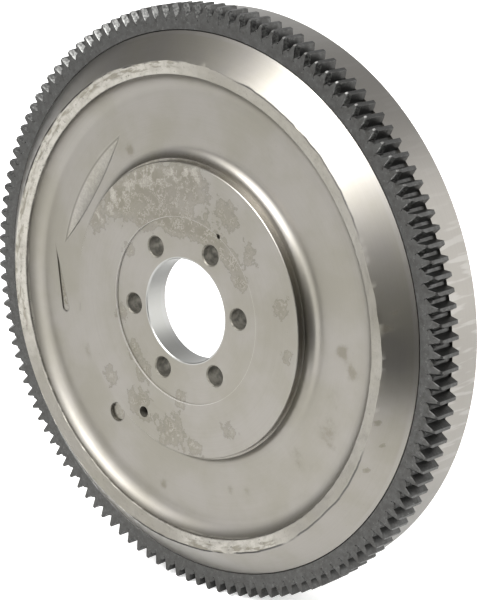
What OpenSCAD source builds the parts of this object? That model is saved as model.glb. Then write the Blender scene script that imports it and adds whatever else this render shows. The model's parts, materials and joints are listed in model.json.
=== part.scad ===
// Engine flywheel with a shrunk-on starter ring gear and clutch dowels.
// Row frame: millimetres, +Z up, the wheel spins about +Y. The engine side faces -Y and the
// clutch side +Y. The origin is on the axis, in the plane of the crankshaft register face.
// Angles around the wheel run from +X towards +Z, as seen from the engine side.

/* [Starter ring gear] */
// Number of teeth on the ring
ring_teeth = 128; // [112:1:154]
// Teeth for each inch of pitch diameter
diametral_pitch = 8; // [6.5:0.1:9]
// Outward shift of the tooth profile, in modules
profile_shift = 0.13; // [0:0.01:0.3]
// Pressure angle of the flanks, in degrees
pressure_angle = 20; // [14.5:0.5:25]
// Width of the ring along the axis
ring_width = 18; // [12:0.1:22]
// Metal between the tooth roots and the seat
ring_wall = 10.9; // [7:0.1:14]
// Angle of the first tooth's centre, in degrees
tooth_phase = 1.6; // [0:0.1:2.8]
// Length of the lead-in bevel along the axis
bevel_depth = 3.5; // [1:0.25:6]
// How far the bevel cuts below the tooth roots
bevel_undercut = 2.5; // [0.5:0.1:3]
// How far the bevel runs in under the tooth from its flank
bevel_reach = 1.8; // [0.5:0.1:2.5]
// Tip land that the bevel leaves at the tooth's end
bevel_tip_land = 0.9; // [0.5:0.1:2]
// Chamfer on the teeth's tips at the engine end
tip_edge = 1.2; // [0.4:0.1:2]
// Chamfer on the inner front edge of the ring
ring_edge = 0.8; // [0.3:0.1:1.5]

/* [Wheel, along the axis] */
// Plane of the ring's front face and of the end of its seat
seat_y = 15.5; // [12:0.5:24]
// Plane of the clutch face, which sets the whole thickness
clutch_y = 60.5; // [52:0.5:75]
// Thickness of the hub plate from its register face to its back
hub_plate = 18.5; // [15:0.5:22]
// Plane of the cast web's front, at the bottom of the front recess
web_y = 10.7; // [7:0.1:12]
// Plane of the lip's inner edge
lip_inner_y = 1.5; // [0:0.1:4]
// Plane of the lip's outer edge, the top of the cone
lip_outer_y = -0.5; // [-3:0.1:1]

/* [Wheel, across the axis] */
// How far the plain rim stands above the tooth roots, behind the ring
rim_rise = 1.6; // [0.2:0.1:3]
// Width of the machined cone from the seat to the lip
cone_width = 18.3; // [12:0.1:24]
// Width of the cast lip
lip_width = 9.5; // [5:0.1:14]
// Fillet between the front recess's wall and the web
recess_fillet = 12; // [10:0.5:16]
// Rounding of the lip's inner edge
lip_edge = 0.8; // [0.3:0.1:1.5]
// Chamfer on the rim's clutch-side edge
rim_edge = 1; // [0.5:0.1:3]

/* [Hub] */
// Radius of the machined hub face
hub_r = 103; // [92:0.5:108]
// Metal between the bolt holes and the edge of the crankshaft flange's register
register_margin = 9.5; // [6:0.5:12]
// Depth of the register below the hub face
register_depth = 1.2; // [0.5:0.1:3]
// Depth of the turned wall around the hub face
hub_wall = 4.4; // [2:0.1:6]
// Cast ledge left outside the turned wall
hub_ledge = 1.6; // [0.8:0.1:3]
// Chamfer on the hub face's edge
hub_edge = 0.5; // [0.2:0.1:1]

/* [Crankshaft interface] */
// Diameter of the centre bore
bore_d = 72.5; // [60:0.5:76]
// Chamfer on both ends of the bore
bore_edge = 0.6; // [0.3:0.1:0.7]
// Diameter of the crankshaft bolt circle
bolt_circle_d = 98; // [92:0.5:108]
// Number of crankshaft bolt holes
bolt_count = 6; // [4:1:8]
// Diameter of the crankshaft bolt holes
bolt_hole_d = 14; // [11:0.1:15]
// Chamfer on the crankshaft bolt holes
bolt_edge = 0.8; // [0.3:0.1:1.2]
// Angle of the first bolt hole, in degrees
bolt_phase = 4.3; // [0:0.1:60]
// Which hole is set off the even spacing, so that the wheel fits one way round
offset_hole = 1; // [0:1:7]
// How far that hole is set back, in degrees
offset_angle = 2.9; // [0:0.1:5]

/* [Small holes and castings on the engine side] */
// Diameter of the timing hole through the hub
timing_d = 8; // [4:0.5:10]
// Distance of the timing hole's axis from the hub's edge
timing_inset = 13.5; // [8:0.5:16]
// Angle of the timing hole, in line with a bolt hole
timing_angle = 244.2; // [0:0.1:360]
// Diameter of the mark drilled on the register's edge
mark_d = 4; // [2:0.5:6]
// Depth of the mark below the hub face
mark_depth = 7; // [3:0.5:10]
// Diameter of the flat-bottomed spot at the hub's foot
spot_d = 13.7; // [8:0.1:16]
// Depth of the spot below the web
spot_depth = 2.2; // [1:0.1:3]
// Flat web between the hub's fillet and the spot
spot_gap = 1.35; // [0.5:0.05:4]
// Angle of the spot
spot_angle = 230; // [0:0.1:360]
// Distance of the leaf-shaped relief's outer edge from the lip
leaf_inset = 30.2; // [28:0.1:32]
// Width of the leaf at its middle
leaf_w = 11.3; // [8:0.1:13]
// Radius of the leaf's inner side
leaf_side_r = 700; // [400:10:1000]
// Angle of the leaf's middle
leaf_angle = 146.4; // [0:0.1:360]
// Distance of the wedge hollow's wide end from the lip
wedge_inset = 29.6; // [28:0.1:32]
// Angle of the wedge hollow's wide end
wedge_angle = 190.5; // [0:0.1:360]
// Length of the wedge hollow
wedge_length = 44; // [30:1:50]
// Width of the wedge hollow's wide end
wedge_w = 6.4; // [4:0.1:8]
// Turn of the wedge hollow from the wheel's tangent, in degrees
wedge_turn = 1.7; // [0:0.1:6]
// Depth of the leaf and the wedge below the web
relief_depth = 0.8; // [0.4:0.1:1.5]

/* [Clutch side] */
// Width of the clutch cover's land
cover_land = 33; // [29:0.5:38]
// Depth of the friction face below the cover's land
friction_step = 1; // [0.4:0.1:2]
// Width of the friction face
friction_w = 72; // [60:1:78]
// Width of the run-out groove around the friction face
groove_w = 3; // [2:0.5:5]
// Depth of the run-out groove below the friction face
groove_depth = 1.5; // [0.5:0.1:3]
// Fillet at the bottom of the centre recess
pocket_fillet = 8; // [4:0.5:12]
// How far the centre recess narrows from its mouth to its floor
pocket_draft = 6; // [2:0.5:10]
// Chamfer on the edges of the friction face
friction_edge = 1; // [0.5:0.1:2]

/* [Clutch cover holes and dowels] */
// Distance of the cover's holes from the rim's edge
cover_inset = 16.5; // [14:0.5:19]
// Number of tapped holes for the clutch cover
cover_count = 6; // [3:1:12]
// Tapping diameter of the cover's holes
cover_hole_d = 8; // [6:0.1:9]
// Chamfer on the cover's holes
cover_edge = 0.8; // [0.3:0.1:1.2]
// Depth of the cover's holes
cover_hole_depth = 22; // [12:0.5:28]
// Angle of the first of the cover's holes, in degrees
cover_phase = 15; // [0:0.5:60]
// Number of dowels
dowel_count = 3; // [2:1:3]
// Diameter of the dowels where they stand out
dowel_d = 9.5; // [8.5:0.5:11]
// How much thicker a dowel's pressed end is than the end that stands out
dowel_step = 0.5; // [0.2:0.1:1]
// Length of a dowel in its hole
dowel_seat = 12; // [8:0.5:16]
// Length of a dowel that stands out
dowel_out = 8; // [4:0.5:10]
// Chamfer on the dowel's ends
dowel_edge = 1; // [0.5:0.1:1.5]
// Gap under the dowel at the bottom of its hole
dowel_gap = 1; // [0.5:0.1:2]
// Angle of the first dowel, in degrees
dowel_phase = 45; // [0:0.5:120]

/* [Hidden] */

inch = 25.4;
// depth of the tooth roots below the pitch circle, in modules, for full-depth teeth
root_depth = 1.157;
round_fn = 96;
hole_fn = 48;
// every cut runs this far past the face that it opens
past = 2;
// the sides of a drill's point, for a 118 degree drill
drill_slope = tan(90 - 118 / 2);

// ring gear
pitch_r = ring_teeth / diametral_pitch * inch / 2;
tooth_module = inch / diametral_pitch;
tip_r = pitch_r + (1 + profile_shift) * tooth_module;
root_r = pitch_r - (root_depth - profile_shift) * tooth_module;
base_r = pitch_r * cos(pressure_angle);
seat_r = root_r - ring_wall;

// wheel
rim_r = root_r + rim_rise;
shoulder_y = seat_y + ring_width;
cone_top_r = seat_r - cone_width;
lip_inner_r = cone_top_r - lip_width;
hub_y = -register_depth;
hub_wall_y = hub_y + hub_wall;
hub_foot_r = hub_r + hub_ledge;
hub_fillet = web_y - hub_wall_y;
register_r = bolt_circle_d / 2 + bolt_hole_d / 2 + register_margin;
timing_r = hub_r - timing_inset;
spot_r = hub_foot_r + hub_fillet + spot_gap + spot_d / 2;
recess_fillet_y = web_y - recess_fillet;
recess_fillet_r = lip_inner_r - sqrt(pow(recess_fillet, 2) - pow(lip_inner_y - recess_fillet_y, 2));
leaf_r = lip_inner_r - leaf_inset;
wedge_r = lip_inner_r - wedge_inset;
lip_foot_y = lip_inner_y + lip_edge;
lip_foot_r = recess_fillet_r + sqrt(pow(recess_fillet, 2) - pow(lip_foot_y - recess_fillet_y, 2));

// clutch side
cover_land_r = rim_r - cover_land;
friction_r = cover_land_r - groove_w;
friction_y = clutch_y - friction_step;
pocket_r = friction_r - friction_w;
pocket_floor_r = pocket_r - pocket_draft;
pocket_lean = atan(pocket_draft / (friction_y - friction_edge - hub_plate));
// the wall leans outwards, so the fillet takes less of the floor than its own radius
pocket_foot = pocket_fillet * tan((90 - pocket_lean) / 2);
cover_circle_r = rim_r - cover_inset;

// Turns the wheel's own axis from Z to the row's +Y.
module wheel_frame() { rotate([-90, 0, 0]) children(); }

// Places its children with +X pointing away from the axis at this angle around the wheel.
module at_angle(angle) { rotate([0, 0, -angle]) children(); }

// A cylinder that opens a hole from one plane to another.
module drill(d, from_y, to_y) {
    translate([0, 0, from_y]) cylinder(d = d, h = to_y - from_y, $fn = hole_fn);
}

// The 45 degree chamfer at a hole's mouth in the face at y, where side is 1 if the
// metal is on its +Y side and -1 if it is on its -Y side.
module mouth(d, edge, y, side) {
    translate([0, 0, y]) mirror([0, 0, side < 0 ? 1 : 0]) translate([0, 0, -past])
        cylinder(d1 = d + 2 * (edge + past), d2 = d, h = edge + past, $fn = hole_fn);
}

// Half the angle that a tooth takes up at radius r, from the involute of the base circle.
function involute(angle) = tan(angle) * 180 / PI - angle;
function tooth_half(r) = 90 / ring_teeth + 2 * profile_shift * tan(pressure_angle) / ring_teeth * 180 / PI
    + involute(pressure_angle) - involute(acos(base_r / r));
function polar(r, angle) = [r * cos(angle), r * sin(angle)];

// The toothed outline: each tooth goes up one flank and down the other.
module tooth_outline() {
    radii = [root_r, pitch_r, tip_r];
    polygon([
        for (i = [0 : ring_teeth - 1])
            let (middle = i * 360 / ring_teeth - tooth_phase)
                for (side = [-1, 1])
                    for (k = [0 : 2])
                        let (r = radii[side < 0 ? k : 2 - k])
                            polar(r, middle + side * tooth_half(r))
    ]);
}

// The lead-in bevel of one tooth, as the tool that cuts it. Its front outline runs from the
// root of the gap to a notch below the root and up to the tip land, and its back outline lies
// on the flank. A point is [across the tooth, from the axis].
module bevel_cutter() {
    root_half = root_r * sin(tooth_half(root_r));
    tip_half = tip_r * sin(tooth_half(tip_r));
    top_r = tip_r + past;
    air = root_half + bevel_reach / 4;
    lean = (root_half - tip_half) / (tip_r - root_r) * past;
    front = [
        [air, root_r],
        [root_half - bevel_reach, root_r - bevel_undercut],
        [bevel_tip_land - tip_half, tip_r],
        [bevel_tip_land - tip_half - lean, top_r],
        [air, top_r]
    ];
    back = [
        [air, root_r],
        [root_half, root_r],
        [tip_half, tip_r],
        [tip_half - lean, top_r],
        [air, top_r]
    ];
    count = len(front);
    ahead = 1 + past / bevel_depth;
    polyhedron(
        points = concat(
            [for (i = [0 : count - 1])
                let (p = back[i] + (front[i] - back[i]) * ahead) [p[1], p[0], -past]],
            [for (p = back) [p[1], p[0], bevel_depth]]
        ),
        faces = concat(
            [[for (i = [0 : count - 1]) i]],
            [[for (i = [0 : count - 1]) 2 * count - 1 - i]],
            [for (i = [0 : count - 1]) let (j = (i + 1) % count) [j, i, i + count]],
            [for (i = [0 : count - 1]) let (j = (i + 1) % count) [j, i + count, j + count]]
        )
    );
}

// The starter ring gear: straight full-depth teeth, bevelled at the engine end, on a plain ring.
module ring_gear() {
    color("#5b5b59")
        wheel_frame() translate([0, 0, seat_y]) difference() {
            linear_extrude(height = ring_width) tooth_outline();
            translate([0, 0, -past])
                cylinder(r = seat_r, h = ring_width + 2 * past, $fn = round_fn);
            translate([0, 0, -past])
                cylinder(r1 = seat_r + ring_edge + past, r2 = seat_r, h = ring_edge + past,
                         $fn = round_fn);
            translate([0, 0, -past]) difference() {
                cylinder(r = tip_r + past, h = tip_edge + past, $fn = round_fn);
                cylinder(r1 = tip_r - tip_edge - past, r2 = tip_r, h = tip_edge + past,
                         $fn = round_fn);
            }
            for (i = [0 : ring_teeth - 1])
                at_angle(tooth_phase + i * 360 / ring_teeth) bevel_cutter();
        }
}

// The wheel's section without its hollows, as [from the axis, along the axis].
module solid_section() {
    polygon([
        [bore_d / 2, 0],
        [register_r, 0],
        [register_r, hub_y],
        [hub_r - hub_edge, hub_y],
        [hub_r, hub_y + hub_edge],
        [hub_r, hub_wall_y],
        [hub_foot_r, hub_wall_y],
        [lip_inner_r, lip_inner_y],
        [cone_top_r, lip_outer_y],
        [seat_r, seat_y],
        [seat_r, shoulder_y],
        [rim_r, shoulder_y],
        [rim_r, clutch_y - rim_edge],
        [rim_r - rim_edge, clutch_y],
        [cover_land_r, clutch_y],
        [cover_land_r, friction_y - groove_depth],
        [friction_r, friction_y - groove_depth],
        [friction_r, friction_y - friction_edge],
        [friction_r - friction_edge, friction_y],
        [bore_d / 2, friction_y]
    ]);
}

// The front recess between the hub and the lip, as the shape that is taken away. Its two
// circles leave the fillets at the hub's foot and at the recess's wall.
module recess_section() {
    translate([hub_foot_r + hub_fillet, hub_wall_y]) circle(r = hub_fillet, $fn = round_fn);
    translate([recess_fillet_r, recess_fillet_y]) circle(r = recess_fillet, $fn = round_fn);
    polygon([
        [hub_foot_r, hub_wall_y],
        [hub_foot_r, hub_y - past],
        [lip_foot_r + lip_edge + past, hub_y - past],
        [lip_foot_r + lip_edge + past, lip_inner_y - past],
        [lip_foot_r, lip_foot_y],
        [recess_fillet_r, recess_fillet_y],
        [recess_fillet_r, web_y],
        [hub_foot_r + hub_fillet, web_y],
        [hub_foot_r + hub_fillet, hub_wall_y]
    ]);
}

// The centre recess in the clutch side, as the shape that is taken away. Its circle leaves
// the fillet between the floor and the leaning wall.
module pocket_section() {
    translate([pocket_floor_r - pocket_foot, hub_plate + pocket_fillet])
        circle(r = pocket_fillet, $fn = round_fn);
    polygon([
        [bore_d / 2 - past, hub_plate],
        [pocket_floor_r - pocket_foot, hub_plate],
        [pocket_floor_r - pocket_foot, hub_plate + pocket_fillet],
        [pocket_floor_r + pocket_foot * sin(pocket_lean), hub_plate + pocket_foot * cos(pocket_lean)],
        [pocket_r, friction_y - friction_edge],
        [pocket_r + friction_edge + past, friction_y + past],
        [bore_d / 2 - past, friction_y + past]
    ]);
}

// Leaf-shaped relief: the wheel's own circle outside, a flatter arc inside.
module leaf() {
    linear_extrude(height = relief_depth + past) intersection() {
        circle(r = leaf_r, $fn = round_fn);
        rotate(-leaf_angle) translate([leaf_r - leaf_w + leaf_side_r, 0])
            circle(r = leaf_side_r, $fn = round_fn);
    }
}

// Wedge hollow: a round end that tapers to a point along the wheel's tangent.
module wedge() {
    reach = wedge_length - wedge_w / 2;
    half = wedge_w / 2;
    touch = acos(half / reach);
    linear_extrude(height = relief_depth + past) {
        circle(d = wedge_w, $fn = hole_fn);
        polygon([[0, reach], half * [-sin(touch), cos(touch)], half * [sin(touch), cos(touch)]]);
    }
}

// The crankshaft bolt holes, one of them off the even spacing.
module bolt_holes() {
    for (i = [0 : bolt_count - 1])
        at_angle(bolt_phase + i * 360 / bolt_count - (i == offset_hole ? offset_angle : 0))
            translate([bolt_circle_d / 2, 0, 0]) {
                drill(bolt_hole_d, hub_y - past, hub_plate + past);
                mouth(bolt_hole_d, bolt_edge, 0, 1);
                mouth(bolt_hole_d, bolt_edge, hub_plate, -1);
            }
}

// The tapped holes for the clutch cover, each with its chamfer and a drill's point.
module cover_holes() {
    hole_r = cover_hole_d / 2;
    bottom_y = clutch_y - cover_hole_depth;
    for (i = [0 : cover_count - 1])
        at_angle(cover_phase + i * 360 / cover_count) translate([cover_circle_r, 0, 0])
            rotate_extrude($fn = hole_fn) polygon([
                [0, bottom_y - hole_r * drill_slope],
                [hole_r, bottom_y],
                [hole_r, clutch_y - cover_edge],
                [hole_r + cover_edge + past, clutch_y + past],
                [0, clutch_y + past]
            ]);
}

// The reamed holes that the dowels are pressed into.
module dowel_holes() {
    for (i = [0 : dowel_count - 1])
        at_angle(dowel_phase + i * 360 / dowel_count) translate([cover_circle_r, 0, 0])
            drill(dowel_d + dowel_step, clutch_y - dowel_seat - dowel_gap, clutch_y + past);
}

// The timing hole, the mark on the register's edge and the spot at the hub's foot.
module small_holes() {
    at_angle(timing_angle) translate([timing_r, 0, 0])
        drill(timing_d, hub_y - past, hub_plate + past);
    at_angle(bolt_phase + offset_hole * 360 / bolt_count - offset_angle)
        translate([register_r, 0, 0]) drill(mark_d, hub_y - past, hub_y + mark_depth);
    at_angle(spot_angle) translate([spot_r, 0, 0])
        drill(spot_d, hub_wall_y, web_y + spot_depth);
}

// The cast-iron wheel, with every machined face.
module flywheel_body() {
    color("#b0aca3")
        wheel_frame() difference() {
            rotate_extrude($fn = round_fn) difference() {
                solid_section();
                recess_section();
                pocket_section();
            }
            mouth(bore_d, bore_edge, 0, 1);
            mouth(bore_d, bore_edge, hub_plate, -1);
            bolt_holes();
            cover_holes();
            dowel_holes();
            small_holes();
            translate([0, 0, web_y - past]) leaf();
            at_angle(wedge_angle) translate([wedge_r, 0, web_y - past]) rotate([0, 0, -wedge_turn]) wedge();
        }
}

// The stepped dowels, pressed into the wheel, that place the clutch cover.
module clutch_dowels() {
    seat_half = (dowel_d + dowel_step) / 2;
    color("#8f9092")
        wheel_frame() for (i = [0 : dowel_count - 1])
            at_angle(dowel_phase + i * 360 / dowel_count) translate([cover_circle_r, 0, 0])
                rotate_extrude($fn = hole_fn) polygon([
                    [0, clutch_y - dowel_seat],
                    [seat_half - dowel_edge, clutch_y - dowel_seat],
                    [seat_half, clutch_y - dowel_seat + dowel_edge],
                    [seat_half, clutch_y],
                    [dowel_d / 2, clutch_y],
                    [dowel_d / 2, clutch_y + dowel_out - dowel_edge],
                    [dowel_d / 2 - dowel_edge, clutch_y + dowel_out],
                    [0, clutch_y + dowel_out]
                ]);
}

flywheel_body();
ring_gear();
clutch_dowels();
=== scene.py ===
"""An engine flywheel with its starter ring gear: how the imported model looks, in a studio.

Lengths are in metres in the model's own frame: +Z up, the wheel's axis along Y, the engine side at -Y.
A place on the wheel is given by its distance from the axis, its plane along the axis and its angle, which
runs from +X towards +Z.
"""

import json
import math
from functools import reduce

import bpy
import numpy as np
from bpy.props import FloatProperty, FloatVectorProperty, IntProperty, PointerProperty
from mathutils import Matrix, Vector


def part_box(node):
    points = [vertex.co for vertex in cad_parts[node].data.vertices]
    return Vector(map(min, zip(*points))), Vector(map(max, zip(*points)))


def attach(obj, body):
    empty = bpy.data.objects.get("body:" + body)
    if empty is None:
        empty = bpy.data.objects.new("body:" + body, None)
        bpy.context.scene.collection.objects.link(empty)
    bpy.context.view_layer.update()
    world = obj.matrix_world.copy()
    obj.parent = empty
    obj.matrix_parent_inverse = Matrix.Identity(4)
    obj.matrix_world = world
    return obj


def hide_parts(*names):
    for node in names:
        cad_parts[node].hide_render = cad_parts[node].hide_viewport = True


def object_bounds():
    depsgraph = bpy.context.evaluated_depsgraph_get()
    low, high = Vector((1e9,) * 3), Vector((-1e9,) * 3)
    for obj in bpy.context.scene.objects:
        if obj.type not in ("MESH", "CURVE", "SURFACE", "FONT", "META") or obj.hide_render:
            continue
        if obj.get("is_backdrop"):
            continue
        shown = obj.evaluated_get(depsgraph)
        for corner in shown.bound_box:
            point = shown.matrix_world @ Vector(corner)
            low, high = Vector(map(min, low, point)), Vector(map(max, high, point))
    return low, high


bl_info = {
    "name": "Flywheel finishes",
    "version": (1, 0, 0),
    "blender": (4, 5, 0),
    "location": "View3D > Sidebar > Flywheel",
    "description": "Builds the cast wheel, its starter ring and its dowels, and a studio around them",
    "category": "Object",
}

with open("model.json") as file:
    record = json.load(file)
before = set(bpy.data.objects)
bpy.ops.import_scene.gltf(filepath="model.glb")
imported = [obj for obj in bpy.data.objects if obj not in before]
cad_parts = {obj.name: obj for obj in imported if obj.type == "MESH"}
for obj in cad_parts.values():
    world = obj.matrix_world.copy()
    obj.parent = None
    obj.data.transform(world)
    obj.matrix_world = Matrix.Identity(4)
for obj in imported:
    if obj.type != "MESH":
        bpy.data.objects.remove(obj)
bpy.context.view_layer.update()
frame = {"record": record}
MOUNTS = {mount["name"]: mount for mount in frame["record"]["mounts"]}
MM = 0.001
INCH = 0.0254


# ---------------------------------------------------------------- sizes and colours


def length(name, millimetres, description):
    """A size property whose default is given in millimetres."""
    return FloatProperty(
        name=name, description=description, default=millimetres * MM, unit="LENGTH", precision=4
    )


def turn(name, degrees, description):
    """An angle property whose default is given in degrees."""
    return FloatProperty(
        name=name, description=description, default=math.radians(degrees), subtype="ANGLE"
    )


def linear(code):
    """The linear RGB of an sRGB hex value, by the sRGB curve: a line near black, then a 2.4 power."""
    parts = [int(code[k : k + 2], 16) / 255 for k in (1, 3, 5)]
    return tuple(c / 12.92 if c <= 0.04045 else ((c + 0.055) / 1.055) ** 2.4 for c in parts)


def tint(name, code, description):
    """A colour property whose default is an sRGB hex value."""
    return FloatVectorProperty(
        name=name, description=description, default=linear(code), subtype="COLOR", size=3, min=0, max=1
    )


def mount_size(name, key):
    """A radius or diameter of one of the model's mounts, in millimetres."""
    return MOUNTS[name]["dims"][key]


class WheelSizes(bpy.types.PropertyGroup):
    """Sizes of the cast wheel."""

    bore: length("Bore radius", mount_size("crank_bore", "r_mm"), "Radius of the centre bore")
    bore_edge: length("Bore chamfer", 0.6, "Chamfer at both ends of the bore")
    hub_plate: length("Hub plate", 18.5, "Plane of the hub's back")
    register: length("Register radius", 65.5, "Radius of the crankshaft flange's register")
    hub: length("Hub radius", 103, "Radius of the turned hub face")
    hub_edge: length("Hub chamfer", 0.5, "Chamfer on the hub face's edge")
    hub_wall: length("Hub wall", 3.2, "Plane where the turned wall around the hub ends")
    hub_ledge: length("Hub ledge", 1.6, "Width of the ledge outside the turned wall")
    web: length("Web plane", 10.7, "Plane of the web, at the bottom of the front recess")
    recess_fillet: length("Recess fillet", 12, "Radius between the recess's wall and the web")
    lip_inner: length("Lip inner radius", 161.239, "Radius of the cast lip's inner edge")
    lip_inner_y: length("Lip inner plane", 1.5, "Plane of the cast lip's inner edge")
    lip_edge: length("Lip rounding", 0.8, "Rounding of the lip's inner edge")
    lip_outer: length("Lip outer radius", 170.739, "Radius where the lip meets the cone, on average")
    lip_outer_y: length("Lip outer plane", -0.5, "Plane where the lip meets the cone, on average")
    clutch: length("Clutch plane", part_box("flywheel_body")[1].y / MM, "Plane of the cover's land")
    rim_rise: length("Rim above roots", 1.6, "How far the rim stands above the tooth roots")
    rim_edge: length("Rim chamfer", 1, "Chamfer on the rim's clutch-side edge")
    cover_land: length("Cover land", 33, "Width of the clutch cover's land")
    friction_step: length("Friction step", 1, "Depth of the friction face below the land")
    friction_width: length("Friction width", 72, "Width of the friction face")
    friction_edge: length("Friction chamfer", 1, "Chamfers on the friction face's edges")
    groove_width: length("Groove width", 3, "Width of the groove around the friction face")
    groove_depth: length("Groove depth", 1.5, "Depth of the groove below the friction face")
    pocket_fillet: length("Pocket fillet", 8, "Fillet at the bottom of the centre recess")
    pocket_draft: length("Pocket draft", 6, "How far the centre recess narrows to its floor")
    around: IntProperty(name="Steps around", description="Mesh steps around the wheel", default=600)


class RingSizes(bpy.types.PropertyGroup):
    """Sizes of the starter ring gear."""

    teeth: IntProperty(name="Teeth", description="Number of teeth", default=128)
    pitch: FloatProperty(name="Diametral pitch", description="Teeth for each inch of diameter", default=8)
    shift: FloatProperty(
        name="Profile shift", description="Outward shift of the teeth, in modules", default=0.13
    )
    pressure: turn("Pressure angle", 20, "Pressure angle of the flanks")
    phase: turn("Phase", 1.6, "Angle of the first tooth's centre")
    wall: length("Wall", 10.9, "Metal between the tooth roots and the seat")
    edge: length("Edge", 0.8, "Chamfer on the inner front edge")
    bevel_depth: length("Bevel length", 3.5, "Length of the tooth ends' bevel along the axis")
    bevel_under: length("Bevel undercut", 2.5, "How far the bevel cuts below the roots")
    bevel_reach: length("Bevel reach", 1.8, "How far the bevel runs in under the tooth")
    bevel_land: length("Bevel land", 0.9, "Tip land that the bevel leaves at the tooth's end")
    tip_edge: length("Tip chamfer", 1.2, "Chamfer on the tips at the engine end")
    burr: length("Broken edge", 0.3, "Width of the worn edges of the teeth")


class FinishColours(bpy.types.PropertyGroup):
    """Colours of the finishes."""

    iron: tint("Turned iron", "#827f7a", "Bare turned grey iron")
    film: tint("Oil film", "#7a776e", "Thin dried oil on the iron")
    stain: tint("Stain", "#5c574a", "Dried oil and rust on the iron")
    scale: tint("Casting skin", "#a3a099", "Pale skin of the unmachined casting")
    # A dark colour that is real grime in the oil patches, the pits and the ring's quench mottle, and painted
    # shade along the hollows' edges, along the lip's inner edge, in the step beside the lip and inside the
    # holes.
    dark_grime_and_shade: tint("Crevice", "#2f2d2a", "Dirt in edges and holes")
    steel: tint("Ring steel", "#4c4c4b", "Heat-treated steel of the ring")
    bevel: tint("Bevel steel", "#868684", "Freshly milled tooth ends")
    dowel: tint("Dowel steel", "#a9aaab", "Ground dowel steel")
    # painted highlight: a pale matt grey on the register's wall stands in for the thin light line it shows,
    # in place of the dark line its reflection gives
    wear_and_highlight: tint("Worn wall", "#979590", "The register's wall, rubbed dull by the flange")
    # painted reflection: pale bars across the rim near the right, where it mirrors the bright studio behind
    painted_reflection: tint("Wiped iron", "#dadad8", "Bars across the rim, where it was wiped")
    bore: tint("Bored iron", "#b3b5b5", "The finely bored centre")
    floor: tint("Floor", "#f4f4f3", "Plain studio floor")
    felt: tint("Felt", "#30302e", "Black felt on a studio card")


def sizes():
    """The wheel's sizes, as set in the scene."""
    return bpy.context.scene.flywheel_sizes


def colours():
    """The finishes' colours, as set in the scene."""
    return bpy.context.scene.flywheel_colours


# ---------------------------------------------------------------- shapes


def leg(start, end, count):
    """Rows along a straight line: start + (end - start) * k / count for k from 0, without the end."""
    k = np.arange(count)[:, None] / count
    return np.stack(
        [start[0] + (end[0] - start[0]) * k, start[1] + (end[1] - start[1]) * k], axis=-1
    )


def legs(*stops):
    """Straight legs from stop to stop: each stop is its place and the steps to the next one."""
    return [leg(a[:2], b[:2], a[2]) for a, b in zip(stops, stops[1:])]


def bend(centre, radius, first, last, count):
    """Rows along an arc: centre + radius * (cos a, sin a), a from first to last degrees, without the end."""
    a = np.radians(first + (last - first) * np.arange(count)[:, None] / count)
    return np.stack([centre[0] + radius * np.cos(a), centre[1] + radius * np.sin(a)], axis=-1)


def ring_faces(rows, columns):
    """Quads of a grid that closes on itself both ways: each point with the next in its row and column."""
    i, j = np.meshgrid(np.arange(rows), np.arange(columns), indexing="ij")
    i2, j2 = (i + 1) % rows, (j + 1) % columns
    quads = [i * columns + j, i2 * columns + j, i2 * columns + j2, i * columns + j2]
    return np.stack(quads, axis=-1).reshape(-1, 4)


def signed_volume(points, faces):
    """Six times a closed mesh's volume: the sum over its triangles of a . (b x c), above 0 if they face
    outwards."""
    a, b, c, d = (points[faces[:, k]] for k in range(4))
    return float(np.sum(a * np.cross(b, c)) + np.sum(a * np.cross(c, d)))


def fan_volume(outline):
    """The same sum over the triangles of one flat outline, fanned from its first point."""
    return float(np.sum(outline[0] * np.cross(outline[1:-1], outline[2:])))


def placed(name, data):
    """A new object with that mesh, light or camera, put in the scene."""
    made = bpy.data.objects.new(name, data)
    bpy.context.scene.collection.objects.link(made)
    return made


def lattice_noise(u, v, cell, seed):
    """Smooth noise from -1 to 1: random values on a square lattice of that cell, blended by 3t^2 - 2t^3.

    Callers add their own offset to u and v, so that each reads another part of the lattice.
    """
    grid = np.random.default_rng(seed).uniform(-1, 1, (256, 256))
    u, v = u / cell, v / cell
    i, j = np.floor(u).astype(int), np.floor(v).astype(int)
    f, g = u - i, v - j
    f, g = f * f * (3 - 2 * f), g * g * (3 - 2 * g)
    near = grid[i % 256, j % 256] * (1 - f) + grid[(i + 1) % 256, j % 256] * f
    far = grid[i % 256, (j + 1) % 256] * (1 - f) + grid[(i + 1) % 256, (j + 1) % 256] * f
    return near * (1 - g) + far * g


def rough_skin(u, v, cell, seed, octaves=3):
    """Sum of lattice noises, each of half the cell and half the height of the one before."""
    return sum(lattice_noise(u, v, cell / 2**k, seed + k) / 2**k for k in range(octaves))


def smoothstep(low, high, x):
    """0 below low, 1 above high, and 3t^2 - 2t^3 between."""
    t = np.clip((x - low) / (high - low), 0, 1)
    return t * t * (3 - 2 * t)


def arc_window(angles, first, last, soft=4):
    """1 for angles between first and last degrees, falling to 0 over soft degrees at each end."""
    middle, half = math.radians((first + last) / 2), math.radians((last - first) / 2)
    away = np.abs((angles - middle + math.pi) % (2 * math.pi) - math.pi)
    return 1 - smoothstep(half - math.radians(soft), half + math.radians(soft), away)


LIP_SWAY, LIP_NICKS = 0.9 * MM, 0.32 * MM  # how far the lip's edge wanders, slowly and quickly


def lip_edge_radius(angles, s):
    """Where the cast lip meets the turned cone: the average radius plus slow and quick wandering."""
    x, z = np.cos(angles), np.sin(angles)
    slow = lattice_noise(x * 4 + 9, z * 4 + 9, 1.0, 11) * LIP_SWAY
    quick = rough_skin(x * 40 + 90, z * 40 + 90, 2.2, 17) * LIP_NICKS
    return s.lip_outer + slow + quick


def lip_step(angles):
    """How far the lip lies below the cone's edge, where the casting was a little low, as 0 to 1."""
    low = arc_window(angles, 28, 74) + arc_window(angles, 92, 160) + arc_window(angles, 252, 338)
    ragged = rough_skin(np.cos(angles) * 60 + 200, np.sin(angles) * 60 + 200, 5, 29)
    return np.clip(low, 0, 1) * smoothstep(-0.8, -0.1, ragged)


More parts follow.
